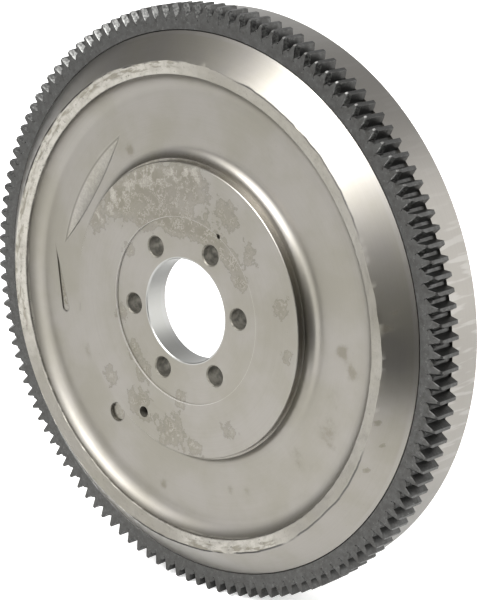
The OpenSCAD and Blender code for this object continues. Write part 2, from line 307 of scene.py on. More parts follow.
def new_mesh(name, grid):
    """A mesh object of a grid of points that closes on itself both ways, with its faces turned outwards."""
    points, faces = grid.reshape(-1, 3), ring_faces(*grid.shape[:2])
    if signed_volume(points, faces) < 0:
        faces = faces[:, ::-1]
    mesh = bpy.data.meshes.new(name)
    mesh.from_pydata(points.astype(np.float32), [], faces)
    return placed(name, mesh)


def capped(name, outlines):
    """A closed stack of equal outlines, each (n, 3), with a flat many-sided face over both ends."""
    n = outlines.shape[1]
    points = outlines.reshape(-1, 3)
    rows = np.arange(len(outlines) - 1)[:, None] * n
    j = np.arange(n)[None, :]
    j2 = (j + 1) % n
    sides = np.stack([rows + j, rows + j2, rows + n + j2, rows + n + j], axis=-1).reshape(-1, 4)
    ends = [list(range(n))[::-1], list(range((len(outlines) - 1) * n, len(outlines) * n))]
    mesh = bpy.data.meshes.new(name)
    mesh.from_pydata(points.tolist(), [], sides.tolist() + ends)
    if signed_volume(points, sides) - fan_volume(points[:n]) + fan_volume(points[-n:]) < 0:
        mesh.flip_normals()
    return mesh


def merged(name, meshes):
    """One mesh with the points and faces of all of these, which it replaces."""
    points, faces = [], []
    for mesh in meshes:
        faces += [[len(points) + k for k in face.vertices] for face in mesh.polygons]
        points += [vertex.co[:] for vertex in mesh.vertices]
        bpy.data.meshes.remove(mesh)
    made = bpy.data.meshes.new(name)
    made.from_pydata(points, [], faces)
    return made


def drill_shape(name, centre, stations, around=48):
    """A drill's path: circles of each station's radius in its plane, about an axis along Y through centre."""
    a = np.linspace(0, 2 * math.pi, around, endpoint=False)
    rings = [
        np.stack([centre[0] + r * np.cos(a), np.full(around, y), centre[1] + r * np.sin(a)], axis=-1)
        for r, y in stations
    ]
    return capped(name, np.array(rings))


def at(angle, radius):
    """The (x, z) of a place on the wheel, from its angle in degrees and its distance from the axis."""
    return np.array([radius * math.cos(math.radians(angle)), radius * math.sin(math.radians(angle))])


def leaf_arcs(grow=0.0):
    """The leaf's two arcs as (centre's distance from the axis, radius): each bulges from one chord, and a
    circle through the chord's ends has radius (half^2 + bulge^2) / (2 bulge). Grow moves both outwards."""
    half = LEAF_HALF + TIP_GROWTH * grow
    arcs = []
    for side, bulge in ((1, LEAF_OUTER_BULGE + grow), (-1, LEAF_INNER_BULGE + grow)):
        radius = (half**2 + bulge**2) / (2 * bulge)
        arcs.append((LEAF_CHORD + side * (bulge - radius), radius))
    return arcs


def leaf_outline(grow, count=48):
    """The lens between the leaf's two arcs, drawn along one and back along the other."""
    turned = math.radians(LEAF_ANGLE)
    both = []
    for (centre, radius), side in zip(leaf_arcs(grow), (1, -1)):
        half = math.asin((LEAF_HALF + TIP_GROWTH * grow) / radius)
        a = np.linspace(-half, half, count)[:-1] * side
        both.append(np.stack([centre + side * radius * np.cos(a), radius * np.sin(a)], axis=-1))
    spin = np.array([[math.cos(turned), -math.sin(turned)], [math.sin(turned), math.cos(turned)]])
    return np.concatenate(both) @ spin.T


def wedge_outline(grow, count=24):
    """The wedge's round end, drawn out by its two tangents to a point, and made larger by grow."""
    half, reach = (WEDGE_WIDTH + grow) / 2, WEDGE_LENGTH + TIP_GROWTH * grow
    touch = math.acos(half / (reach - half))
    a = np.linspace(math.pi / 2 + touch, math.pi / 2 - touch + 2 * math.pi, count)
    end = np.stack([half * np.cos(a), half * np.sin(a)], axis=-1)
    x, z = np.concatenate([end, [[0, reach - half]]]).T
    spin = math.radians(WEDGE_ANGLE + WEDGE_TURN)
    turned = [x * math.cos(spin) + z * math.sin(spin), x * math.sin(spin) - z * math.cos(spin)]
    return np.stack(turned, axis=-1) + at(WEDGE_ANGLE, WEDGE_RADIUS)


def pressed_in(name, outlines, planes):
    """A shape whose outline changes evenly along Y, from one outline and plane to the next."""
    return capped(name, np.array([
        np.stack([outline[:, 0], np.full(len(outline), y), outline[:, 1]], axis=-1)
        for outline, y in zip(outlines, planes)
    ]))


def cut_out(piece, shapes):
    """Takes closed shapes away from a piece, and gives it the resulting mesh without a live modifier."""
    joined = merged("tool", shapes)
    tool = placed("tool", joined)
    cut = piece.modifiers.new("cut", "BOOLEAN")
    cut.operation, cut.solver, cut.object = "DIFFERENCE", "MANIFOLD", tool
    bpy.context.view_layer.update()
    made = bpy.data.meshes.new_from_object(piece.evaluated_get(bpy.context.evaluated_depsgraph_get()))
    piece.modifiers.clear()
    old, piece.data = piece.data, made
    bpy.data.meshes.remove(old)
    bpy.data.objects.remove(tool)
    bpy.data.meshes.remove(joined)


def smooth_but_edges(piece, degrees):
    """Smooth shading, kept crisp along edges that turn by more than this."""
    piece.data.shade_smooth()
    piece.data.set_sharp_from_angle(angle=math.radians(degrees))


def vertex_places(mesh):
    """Each vertex's distance from the axis, plane and angle, as arrays."""
    co = np.empty(len(mesh.vertices) * 3, np.float32)
    mesh.vertices.foreach_get("co", co)
    x, y, z = co.reshape(-1, 3).T.astype(float)
    return np.hypot(x, z), y, np.arctan2(z, x)


def store(mesh, name, values):
    """Keeps one number per vertex as an attribute that materials read."""
    layer = mesh.attributes.new(name, "FLOAT", "POINT")
    layer.data.foreach_set("value", values.astype(np.float32))


# ---------------------------------------------------------------- the cast wheel


ROOT_DEPTH = 1.157  # of full-depth teeth below their pitch circle, in modules


def ring_radii():
    """The ring's base, root and tip circles, and its seat, for full-depth teeth of that pitch and shift."""
    ring = bpy.context.scene.flywheel_ring
    pitch, module = ring.teeth / ring.pitch * INCH / 2, INCH / ring.pitch
    root = pitch - (ROOT_DEPTH - ring.shift) * module
    return pitch * math.cos(ring.pressure), root, pitch + (1 + ring.shift) * module, root - ring.wall


STEP_DEPTH = 0.55 * MM  # of the low places beside the cone's edge


def wheel_section(s, angles):
    """The wheel's closed section, as rows of (distance from axis, plane) for every angle.

    Straight legs and arcs follow the turned faces. The lip's rows lie between its inner edge and the
    wandering line where the cone cuts it, and the recess and the lip carry the casting's roughness.
    """
    _, root, _, seat = ring_radii()
    ring_low, ring_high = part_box("ring_gear")
    rim = root + s.rim_rise
    register_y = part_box("flywheel_body")[0].y
    fillet = s.web - s.hub_wall
    foot = s.hub + s.hub_ledge
    arc_y = s.web - s.recess_fillet
    arc_r = s.lip_inner - math.sqrt(s.recess_fillet**2 - (s.lip_inner_y - arc_y) ** 2)
    arc_end = math.degrees(math.asin((s.lip_inner_y + s.lip_edge - arc_y) / s.recess_fillet))
    arc_end_r = arc_r + s.recess_fillet * math.cos(math.radians(arc_end))
    slope = (s.lip_outer_y - s.lip_inner_y) / (s.lip_outer - s.lip_inner)
    cone = (ring_low.y - s.lip_outer_y) / (seat - s.lip_outer)
    land = rim - s.cover_land
    friction = land - s.groove_width
    friction_y = s.clutch - s.friction_step
    pocket = friction - s.friction_width
    floor = pocket - s.pocket_draft
    lean = math.atan(s.pocket_draft / (friction_y - s.friction_edge - s.hub_plate))
    heel = s.pocket_fillet * math.tan((math.pi / 2 - lean) / 2)

    turned_front = legs(
        (s.bore, s.bore_edge, 1), (s.bore + s.bore_edge, 0, 12), (s.register, 0, 1),
        (s.register, register_y, 15), (s.hub - s.hub_edge, register_y, 1),
        (s.hub, register_y + s.hub_edge, 2), (s.hub, s.hub_wall, 1), (foot, s.hub_wall, 0),
    )
    recess = [
        bend((foot + fillet, s.hub_wall), fillet, 180, 90, 9),
        leg((foot + fillet, s.web), (arc_r, s.web), 24),
        bend((arc_r, arc_y), s.recess_fillet, 90, arc_end, 13),
        bend((arc_end_r + s.lip_edge, s.lip_inner_y + s.lip_edge), s.lip_edge, 180, 270, 4),
    ]
    edge = lip_edge_radius(angles, s)
    lip_start = arc_end_r + s.lip_edge
    start_y = s.lip_inner_y + slope * (lip_start - s.lip_inner)
    edge_y = s.lip_outer_y + cone * (edge - s.lip_outer)
    step_y = edge_y + lip_step(angles) * STEP_DEPTH
    lip = [leg((lip_start, start_y), (edge - 0.5 * MM, edge_y + 0.15 * MM), 12)]
    lip += legs((edge - 0.45 * MM, step_y, 1), (edge - 0.12 * MM, step_y, 1), (edge, edge_y, 0))
    turned_back = legs(
        (edge, edge_y, 7), (seat, ring_low.y, 1), (seat, ring_high.y, 1), (rim, ring_high.y, 4),
        (rim, s.clutch - s.rim_edge, 1), (rim - s.rim_edge, s.clutch, 5), (land, s.clutch, 1),
        (land, friction_y - s.groove_depth, 1), (friction, friction_y - s.groove_depth, 1),
        (friction, friction_y - s.friction_edge, 1), (friction - s.friction_edge, friction_y, 12),
        (pocket + s.friction_edge, friction_y, 1), (pocket, friction_y - s.friction_edge, 4),
        (floor + heel * math.sin(lean), s.hub_plate + heel * math.cos(lean), 0),
    )
    turned_back.append(bend(
        (floor - heel, s.hub_plate + s.pocket_fillet), s.pocket_fillet, -math.degrees(lean), -90, 6
    ))
    turned_back += legs(
        (floor - heel, s.hub_plate, 6), (s.bore + s.bore_edge, s.hub_plate, 1),
        (s.bore, s.hub_plate - s.bore_edge, 4), (s.bore, s.bore_edge, 0),
    )
    groups = [turned_front, recess, lip, turned_back]
    wide = [[np.broadcast_to(part, (len(part), len(angles), 2)) for part in group] for group in groups]
    cast = np.concatenate([
        np.full(sum(len(part) for part in group), weight)
        for group, weight in zip(groups, (0, 1, 2, 0))
    ])
    return np.concatenate([part for group in wide for part in group]), cast


WAVE_LENGTH, WAVE_HEIGHT = 28 * MM, 0.07 * MM
GRIT_LENGTH, GRIT_HEIGHT = 4.5 * MM, 0.22 * MM


def cast_roughness(points, cast):
    """How far the casting's skin stands off its section along Y: waves in the recess, grit on the lip."""
    x, z = points[..., 0] + 1, points[..., 2] + 1
    waves = lattice_noise(x, z, WAVE_LENGTH, 3) * WAVE_HEIGHT
    grit = rough_skin(x, z, GRIT_LENGTH, 5) * GRIT_HEIGHT
    inner = np.clip(np.arange(len(cast)) - np.argmax(cast > 0), 0, 6) / 6
    return (cast == 1)[:, None] * waves * inner[:, None] + (cast == 2)[:, None] * grit


# Holes and hollows: angles in degrees, circles as distances from the axis. A hollow's walls slope, from an
# outline that is larger by the first growth outside the web to one by the second growth at its floor, and
# its pointed tips move TIP_GROWTH times as far as its sides.
BOLT_EDGE = 0.8 * MM
THROUGH_ANGLE, THROUGH_CIRCLE, THROUGH_RADIUS = 244.2, 89.5 * MM, 4 * MM
MARK_ANGLE, MARK_RADIUS, MARK_DEPTH = 61.4, 2 * MM, 5.8 * MM
SPOT_ANGLE, SPOT_CIRCLE, SPOT_RADIUS, SPOT_DEPTH = 230, 120.3 * MM, 6.85 * MM, 2.2 * MM
COVER_ANGLES = range(15, 375, 60)
COVER_EDGE, COVER_DEPTH, COVER_TIP, COVER_TIP_RADIUS = 0.8 * MM, 22 * MM, 2.2 * MM, 0.4 * MM
RELIEF = 0.8 * MM
TIP_GROWTH = 3
LEAF_GROWTH = (2.6 * MM, -1.0 * MM)
LEAF_ANGLE, LEAF_CHORD, LEAF_HALF = 146.4, 121.3 * MM, 49.5 * MM
LEAF_OUTER_BULGE, LEAF_INNER_BULGE = 8.6 * MM, 3.9 * MM
WEDGE_GROWTH = (1.3 * MM, -0.2 * MM)
WEDGE_ANGLE, WEDGE_RADIUS, WEDGE_TURN = 190.5, 131.64 * MM, 1.7
WEDGE_LENGTH, WEDGE_WIDTH = 44 * MM, 6.4 * MM


def bolt_places():
    """The crankshaft bolt holes' (x, z): each stated pair's centre, and half its distance either way.

    A pair's holes lie on the bolt circle, so the line between them is at right angles to the line from
    the axis to their middle.
    """
    places = []
    for name in ("crank_bolts_right", "crank_bolts_top", "crank_bolts_left"):
        x, _, z = MOUNTS[name]["pos_m"]
        across = np.array([-z, x]) / math.hypot(x, z) * mount_size(name, "pcd_mm") * MM / 2
        places += [np.array([x, z]) - across, np.array([x, z]) + across]
    return places


def hole_shapes(s):
    """The paths of all the drills and cutters, and each hole's place, radius and first and last planes."""
    front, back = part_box("flywheel_body")[0].y, s.hub_plate
    past = 2 * MM
    bolt = mount_size("crank_bolts_left", "hole_r_mm") * MM
    wide = bolt + BOLT_EDGE + past
    shapes, holes = [], []
    for place in bolt_places():
        shapes.append(drill_shape("bolt", place, [
            (wide, -past), (bolt, BOLT_EDGE), (bolt, back - BOLT_EDGE), (wide, back + past),
        ]))
        holes.append((place, bolt + BOLT_EDGE, front, back + MM))
    for angle, circle, r, start, end in (
        (THROUGH_ANGLE, THROUGH_CIRCLE, THROUGH_RADIUS, front - past, back + past),
        (MARK_ANGLE, s.register, MARK_RADIUS, front - past, MARK_DEPTH),
        (SPOT_ANGLE, SPOT_CIRCLE, SPOT_RADIUS, s.hub_wall, s.web + SPOT_DEPTH),
    ):
        shapes.append(drill_shape("small hole", at(angle, circle), [(r, start), (r, end)]))
        holes.append((at(angle, circle), r, front, end - 0.1 * MM))
    cover = mount_size("clutch_cover", "pcd_mm") * MM / 2
    tapped = mount_size("clutch_cover", "hole_r_mm") * MM
    full = s.clutch - COVER_DEPTH
    for angle in COVER_ANGLES:
        shapes.append(drill_shape("cover hole", at(angle, cover), [
            (COVER_TIP_RADIUS, full - COVER_TIP), (tapped, full),
            (tapped, s.clutch - COVER_EDGE), (tapped + COVER_EDGE + past, s.clutch + past),
        ]))
        holes.append((at(angle, cover), tapped + COVER_EDGE, full - 3 * MM, s.clutch + MM))
    planes = (s.web - MM, s.web + RELIEF)
    shapes.append(pressed_in("leaf", [leaf_outline(grow) for grow in LEAF_GROWTH], planes))
    shapes.append(pressed_in("wedge", [wedge_outline(grow) for grow in WEDGE_GROWTH], planes))
    return shapes, holes


# Dried patches of oil on the engine side: angle in degrees, distance from the axis and size in
# millimetres, and strength.
PATCHES = (
    # the crust on the hub's upper part, and inside the register
    (112, 88, 20, 1.2), (88, 90, 18, 1.1), (134, 94, 15, 1.1), (150, 98, 9, 0.9), (107, 70, 11, 1.0),
    (62, 84, 14, 0.7), (125, 68, 8, 0.8), (12, 90, 9, 0.75), (352, 94, 7, 0.7), (40, 78, 10, 0.6),
    (98, 60, 9, 0.9), (85, 59, 9, 0.9), (72, 60, 8, 0.9), (58, 60, 8, 0.9), (44, 60, 8, 0.9),
    (30, 60, 8, 0.9), (147, 62, 7, 0.7), (216, 61, 8, 0.8), (232, 64, 8, 0.9), (266, 62, 7, 0.8),
    (192, 62, 7, 0.8),
    # fainter ones on its lower part
    (299, 86, 10, 0.6), (262, 90, 16, 0.8), (240, 86, 13, 0.8), (220, 94, 10, 0.7), (277, 98, 9, 0.7),
    # smudges on the web
    (122, 119, 5, 1.0), (358, 130, 7, 1.2), (353, 140, 6, 1.1), (334, 134, 13, 0.7), (318, 128, 12, 0.7),
    (344, 128, 9, 0.6), (190, 112, 8, 0.8), (257, 140, 5, 1.1), (292, 130, 5, 0.9), (60, 135, 12, 0.4),
    (205, 118, 10, 0.7), (330, 140, 8, 0.5),
    # drops on the cone
    (346, 173, 2.2, 1.4), (341, 178, 1.6, 1.4), (334, 176, 2.2, 1.4), (7, 174, 2.6, 1.5), (10, 178, 1.6, 1.3),
    (285, 128, 4, 0.9),
)


def patch_field(r, angles):
    """The sum over PATCHES of strength * exp(-(distance / size)^2), for every vertex of the engine side."""
    x, z = r * np.cos(angles), r * np.sin(angles)
    field = np.zeros_like(r)
    for angle, radius, size, strength in PATCHES:
        px, pz = at(angle, radius * MM)
        field += strength * np.exp(-((x - px) ** 2 + (z - pz) ** 2) / (size * MM) ** 2)
    return field


def make_casting():
    """The wheel as one closed surface, cut by its holes, with the fields that its finishes read."""
    s = sizes()
    angles = np.linspace(0, 2 * math.pi, s.around, endpoint=False)
    rows, cast = wheel_section(s, angles)
    points = np.stack([rows[..., 0] * np.cos(angles), rows[..., 1], rows[..., 0] * np.sin(angles)], axis=-1)
    points[..., 1] = np.maximum(points[..., 1] + cast_roughness(points, cast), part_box("flywheel_body")[0].y)
    piece = new_mesh("flywheel_casting", points)
    shapes, holes = hole_shapes(s)
    cut_out(piece, shapes)
    smooth_but_edges(piece, 32)
    mesh = piece.data
    r, y, a = vertex_places(mesh)
    engine_side = y < s.web + 3 * MM
    store(mesh, "lip", (r - lip_edge_radius(a, s)) / MM)
    store(mesh, "step", lip_step(a))
    store(mesh, "patch", patch_field(r, a) * engine_side)
    skin = arc_window(a, 88, 200, 12) + arc_window(a, 268, 302, 6)
    store(mesh, "skin", skin + 0.35 * arc_window(a, 336, 365) + 0.35 * arc_window(a, 24, 76, 6))
    store(mesh, "sharp", 1 - smoothstep(s.hub, s.hub + 8 * MM, r) + (r > s.lip_outer))
    mesh.materials.clear()
    mesh.materials.append(turned_grey_iron())
    # inside the holes: grime, and painted shade that keeps them dark
    mesh.materials.append(drilled_iron_and_shade())
    # a face belongs to a hole if its centre lies inside the hole's circle and between its planes
    centres = np.empty(len(mesh.polygons) * 3, np.float32)
    mesh.polygons.foreach_get("center", centres)
    x, y, z = centres.reshape(-1, 3).T
    inside = np.zeros(len(x), bool)
    for place, radius, low, high in holes:
        inside |= (np.hypot(x - place[0], z - place[1]) < radius * 0.999) & (y > low) & (y < high)
    mesh.polygons.foreach_set("material_index", inside.astype(np.int32))
    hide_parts("flywheel_body")
    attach(piece, "root")


# ---------------------------------------------------------------- the ring and the dowels


def involute(angle):
    """The involute function, tan(a) - a."""
    return math.tan(angle) - angle


def tooth_outline(g, along):
    """One tooth's outline at a plane this far behind the ring's front face, as (across, radius) rows.

    Half the tooth's angle at radius r is pi / (2 teeth) + 2 shift tan(pressure angle) / teeth
    + inv(pressure angle) - inv(acos(base / r)), and its half width is r times that angle's sine. The
    tips keep a 45 degree chamfer at the front. The lower flank lies on the one-sided bevel: straight
    lines along the axis join a slanting line on the front face to the whole flank at the bevel's end.
    """
    base, root, tip, _ = ring_radii()
    middle = math.pi / 2 / g.teeth + 2 * g.shift * math.tan(g.pressure) / g.teeth + involute(g.pressure)

    def half(r):
        return r * math.sin(middle - involute(math.acos(base / r)))

    top = tip - max(g.tip_edge - along, 0)
    burr = g.burr / 2
    flank = np.array([(half(r), r) for r in np.linspace(root + burr, top - burr, 5)])
    notch = np.array((g.bevel_reach - half(root), root - g.bevel_under))
    land = np.array((half(tip) - g.bevel_land, tip))
    slant = notch + (land - notch) * np.linspace(0, (top - burr - notch[1]) / (tip - notch[1]), 5)[:, None]
    share = min(along / g.bevel_depth, 1)
    low = slant + (flank * (-1, 1) - slant) * share
    foot = np.array((-half(root) - burr, root))
    cut = notch + (-burr, burr)
    valley = (-root * math.sin(math.pi / g.teeth), root)
    return np.array([
        valley, cut + (foot - cut) * share, *low, low[-1] + (burr, burr), flank[-1] + (-burr, burr),
        *flank[::-1], (half(root) + burr, root),
    ])


def ring_points(g):
    """The ring as a grid: each row is one turn of the outline at a plane along the axis, from the seat's
    back edge, over the front face, along the teeth and over the rear face."""
    low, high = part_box("ring_gear")
    _, root, _, seat = ring_radii()
    width, wear_and_highlight = high.y - low.y, g.burr * 0.6
    per = len(tooth_outline(g, 0))
    middle = g.phase + np.arange(g.teeth)[:, None] * 2 * math.pi / g.teeth

    def around(radius, y, a):
        return np.stack([radius * np.cos(a), np.full(a.shape, y), radius * np.sin(a)], axis=-1).reshape(-1, 3)

    def teeth(along, shrink=0.0):
        outline = tooth_outline(g, along)
        across = outline[None, :, 0] * (1 - shrink / (2 * MM))
        radius = outline[None, :, 1] - shrink * (outline[None, :, 1] > root)
        a = middle + np.arcsin(across / radius)
        return around(radius, low.y + along, a)

    def circle(radius, y):
        a = middle + (np.arange(per) + 0.5 - per / 2)[None, :] / per * 2 * math.pi / g.teeth
        return around(radius, y, a)

    below_bevel, below_teeth, halfway = root - g.bevel_under * 1.6, root - 3 * MM, g.bevel_depth * 0.65
    return np.array([
        circle(seat, high.y), circle(seat, low.y + g.edge), circle(seat + g.edge, low.y),
        circle(below_bevel, low.y), teeth(0, wear_and_highlight), teeth(wear_and_highlight), teeth(g.tip_edge), teeth(halfway),
        teeth(g.bevel_depth), teeth(width - wear_and_highlight), teeth(width, wear_and_highlight), circle(below_teeth, high.y),
    ])


def make_ring():
    """The starter ring as one closed surface, with its bevelled tooth ends in their own finish."""
    g = bpy.context.scene.flywheel_ring
    points = ring_points(g)
    piece = new_mesh("starter_ring", points)
    smooth_but_edges(piece, 20)
    mesh = piece.data
    mesh.materials.append(quenched_ring_steel())
    mesh.materials.append(milled_tooth_ends())
    columns = points.shape[1]
    row = np.arange(len(mesh.polygons)) // columns
    place = np.arange(len(mesh.polygons)) % columns % (columns // g.teeth)
    # the rows from the tooth's end to the bevel's, and along the low flank the faces that the bevel cuts
    bevel = (row >= 4) & (row <= 7) & (place >= 2) & (place <= 5)
    mesh.polygons.foreach_set("material_index", bevel.astype(np.int32))
    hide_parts("ring_gear")
    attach(piece, "root")


DOWEL_ANGLES = (45, 165, 285)
DOWEL_NOSE, DOWEL_PRESS = 1.2 * MM, 0.25 * MM  # the ends' rounding, and how much thicker the pressed end is


def make_dowels():
    """The dowels: pins pressed in by their thicker ends, with both ends rounded by a quarter circle."""
    r = mount_size("clutch_dowel_ends", "stud_r_mm") * MM
    circle = mount_size("clutch_dowel_ends", "pcd_mm") * MM / 2
    low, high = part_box("clutch_dowels")
    pressed = r + DOWEL_PRESS
    a = np.radians(np.linspace(0, 90, 6))
    start = [(pressed + DOWEL_NOSE * (math.sin(t) - 1), low.y + DOWEL_NOSE * (1 - math.cos(t))) for t in a]
    sides = [(pressed, sizes().clutch), (r, sizes().clutch)]
    end = [(r + DOWEL_NOSE * (math.cos(t) - 1), high.y + DOWEL_NOSE * (math.sin(t) - 1)) for t in a]
    made = merged("dowel_pins", [
        drill_shape("dowel", at(angle, circle), start + sides + end) for angle in DOWEL_ANGLES
    ])
    piece = placed("dowel_pins", made)
    smooth_but_edges(piece, 40)
    made.materials.append(ground_dowel_steel())
    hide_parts("clutch_dowels")
    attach(piece, "root")


# ---------------------------------------------------------------- materials


def add(where, kind, inputs, **settings):
    """Adds a node to a tree, or to the tree of a socket: settings are the node's own properties, and inputs
    are sockets to link or values to set."""
    tree = where.id_data
    made = tree.nodes.new(kind)
    for name, value in settings.items():
        setattr(made, name, value)
    for key, value in inputs.items():
        if isinstance(value, bpy.types.NodeSocket):
            tree.links.new(value, made.inputs[key])
        else:
            made.inputs[key].default_value = value
    return made


def rgba(colour):
    """A colour with full alpha, as shader sockets take it."""
    return (*colour, 1.0)


def blank(name):
    """A new material and its empty node tree."""
    material = bpy.data.materials.new(name)
    material.use_nodes = True
    material.node_tree.nodes.clear()
    return material, material.node_tree


def surfaced(material, inputs):
    """Ends a material's nodes in a surface with these inputs, and returns the material."""
    shader = add(material.node_tree, "ShaderNodeBsdfPrincipled", inputs)
    add(material.node_tree, "ShaderNodeOutputMaterial", {0: shader.outputs[0]})
    return material


def calculate(operation, *values, clamp=False):
    """The result of one sum on sockets or numbers."""
    inputs = dict(enumerate(values))
    where = next(value for value in values if isinstance(value, bpy.types.NodeSocket))
    return add(where, "ShaderNodeMath", inputs, operation=operation, use_clamp=clamp).outputs[0]


def times(*values):
    """The product of sockets and numbers."""
    return reduce(lambda a, b: calculate("MULTIPLY", a, b), values)


def plus(*values):
    """The sum of sockets and numbers."""
    return reduce(lambda a, b: calculate("ADD", a, b), values)


def apart(value, middle):
    """How far a value is from the middle one, either way."""
    return calculate("ABSOLUTE", calculate("SUBTRACT", value, middle))


def vector_sum(operation, first, second, output=0):
    """The result of one sum on two vectors, from one of its outputs."""
    return add(first, "ShaderNodeVectorMath", {0: first, 1: second}, operation=operation).outputs[output]


def ramp(value, low, high, to_low=0.0, to_high=1.0):
    """A smooth change of a value from one range to another."""
    inputs = {"Value": value, "From Min": low, "From Max": high, "To Min": to_low, "To Max": to_high}
    return add(value, "ShaderNodeMapRange", inputs, interpolation_type="SMOOTHSTEP").outputs[0]


def fade(value, low, high):
    """1 up to the low value, and falling smoothly to 0 at the high one."""
    return ramp(value, low, high, 1.0, 0.0)


def coated(colour, *coats):
    """A colour under coats, each laid over the ones before by its share and with its own colour."""
    for share, coat in coats:
        inputs = {0: share, 6: colour, 7: rgba(coat)}
        colour = add(share, "ShaderNodeMix", inputs, data_type="RGBA").outputs[2]
    return colour


def noise(vector, scale=1.0, detail=2.0, rough=0.5):
    """Noise of 0 to 1 over a vector."""
    inputs = {"Vector": vector, "Scale": scale, "Detail": detail, "Roughness": rough}
    return add(vector, "ShaderNodeTexNoise", inputs).outputs["Fac"]


def grain(place, size, detail=3.0, rough=0.55):
    """Noise of 0 to 1 whose largest grains are size metres across."""
    return noise(place, 1 / size, detail, rough)


def stretched_noise(*steps, detail=2.0):
    """Noise of 0 to 1 over up to three values, each a socket with its steps to a metre or a radian."""
    inputs = {k: times(value, rate) for k, (value, rate) in enumerate(steps)}
    return noise(add(steps[0][0], "ShaderNodeCombineXYZ", inputs).outputs[0], detail=detail)


def object_places(tree):
    """Object coordinates."""
    return add(tree, "ShaderNodeTexCoord", {}).outputs["Object"]


def wheel_places(tree):
    """Object coordinates, and from them the distance from the axis, the angle and the plane."""
    place = object_places(tree)
    x, y, z = add(tree, "ShaderNodeSeparateXYZ", {0: place}).outputs
    r = calculate("SQRT", plus(times(x, x), times(z, z)))
    return place, r, calculate("ARCTAN2", z, x), y


def turned_lines(r, angle, y, pitch, breaks=1.2):
    """Noise in rings about the axis, as a tool leaves them: fine across the rings and long around them."""
    return stretched_noise((r, 1 / pitch), (y, 1 / pitch), (angle, breaks), detail=3.0)


def bumped(height):
    """The surface's direction with that height's unevenness, up to a tenth of a millimetre."""
    inputs = {"Height": height, "Strength": 0.5, "Distance": 0.1 * MM}
    return add(height, "ShaderNodeBump", inputs).outputs[0]


def stored(where, name):
    """What store() kept under that name."""
    return add(where, "ShaderNodeAttribute", {}, attribute_name=name).outputs["Fac"]


def on_web(angle, circle):
    """A place in the web's plane."""
    x, z = at(angle, circle)
    return (x, sizes().web, z)


def disc_depth(place, centre, radius):
    """How far a place lies inside a sphere: above 0 inside it."""
    away = vector_sum("DISTANCE", place, centre, "Value")
    return calculate("SUBTRACT", radius, away)


def leaf_depth(place):
    """How far a place lies inside both of the leaf's arcs."""
    arcs = [disc_depth(place, on_web(LEAF_ANGLE, centre), radius) for centre, radius in leaf_arcs()]
    return calculate("MINIMUM", *arcs)


def wedge_depth(place):
    """How far a place lies inside the wedge: its round end, or between the two lines drawn out to its tip."""
    end = on_web(WEDGE_ANGLE, WEDGE_RADIUS)
    from_end = vector_sum("SUBTRACT", place, end)
    spin, half = math.radians(WEDGE_ANGLE + WEDGE_TURN), WEDGE_WIDTH / 2
    reach = WEDGE_LENGTH - half
    lean = math.asin(half / reach)
    along, across = (
        vector_sum("DOT_PRODUCT", from_end, direction, "Value")
        for direction in ((math.sin(spin), 0, -math.cos(spin)), (math.cos(spin), 0, math.sin(spin)))
    )
    taper = calculate("MULTIPLY_ADD", along, -math.sin(lean), reach * math.sin(lean))
    taper = calculate("MULTIPLY_ADD", calculate("ABSOLUTE", across), -math.cos(lean), taper)
    return calculate("MAXIMUM", disc_depth(place, end, half), calculate("MINIMUM", taper, along))


def dried_oil(place, r, mottle):
    """How far a place is under dried oil, and the oil's coats.

    A patch is darker, with an uneven rim that is crisp on turned faces and soft on the web. On the hub it
    is crazed with pale veins and, towards the edge, crusted.
    """
    c, hub = colours(), sizes().hub
    sharp = stored(place, "sharp")
    ragged = plus(stored(place, "patch"), ramp(mottle, 0.2, 0.8, -0.35, 0.35))
    soft = times(ramp(ragged, 0.3, 1.1), calculate("SUBTRACT", 1.0, sharp))
    under = calculate("MULTIPLY_ADD", ramp(ragged, 0.42, 0.47), sharp, soft, clamp=True)
    on_hub = fade(r, hub + 2 * MM, hub + 4 * MM)
    crazed = fade(apart(grain(place, 3 * MM, 4, 0.7), 0.5), 0.0, 0.05)
    veins = times(crazed, ramp(ragged, 0.5, 0.9), ramp(mottle, 0.44, 0.56), on_hub)
    crust = times(ramp(mottle, 0.46, 0.6), ramp(r, hub - 21 * MM, hub - 3 * MM), on_hub)
    return under, [
        (times(under, ramp(ragged, 0.42, 1.0, 0.24, 0.5)), c.stain),
        (times(under, sharp, fade(ragged, 0.47, 0.56), 0.18), c.dark_grime_and_shade),
        (times(veins, 0.5), c.scale),
        (times(crust, ramp(ragged, 0.6, 1.0), 0.45), c.scale),
    ]


def hollow_floors_and_edge_shade(place, grit, front):
    """The coats of the hollows beside the hub: each has a dark line of painted shade along its edge, where
    its walls fall in shade, and its own speckled floor.
    """
    c = colours()
    coats = []
    for depth, share, floor in (
        (leaf_depth(place), 0.22, c.scale),
        (wedge_depth(place), 0.7, c.stain),
        (disc_depth(place, on_web(SPOT_ANGLE, SPOT_CIRCLE), SPOT_RADIUS), 0.4, c.stain),
    ):
        # painted shade: a dark line on both sides of each hollow's edge
        outline = fade(calculate("ABSOLUTE", depth), 0.2 * MM, 0.8 * MM)
        coats.append((times(outline, front, 0.4), c.dark_grime_and_shade))
        inner = ramp(depth, 0.6 * MM, MM)
        coats.append((times(inner, ramp(grit, 0.4, 0.6), front, share), floor))
    return coats


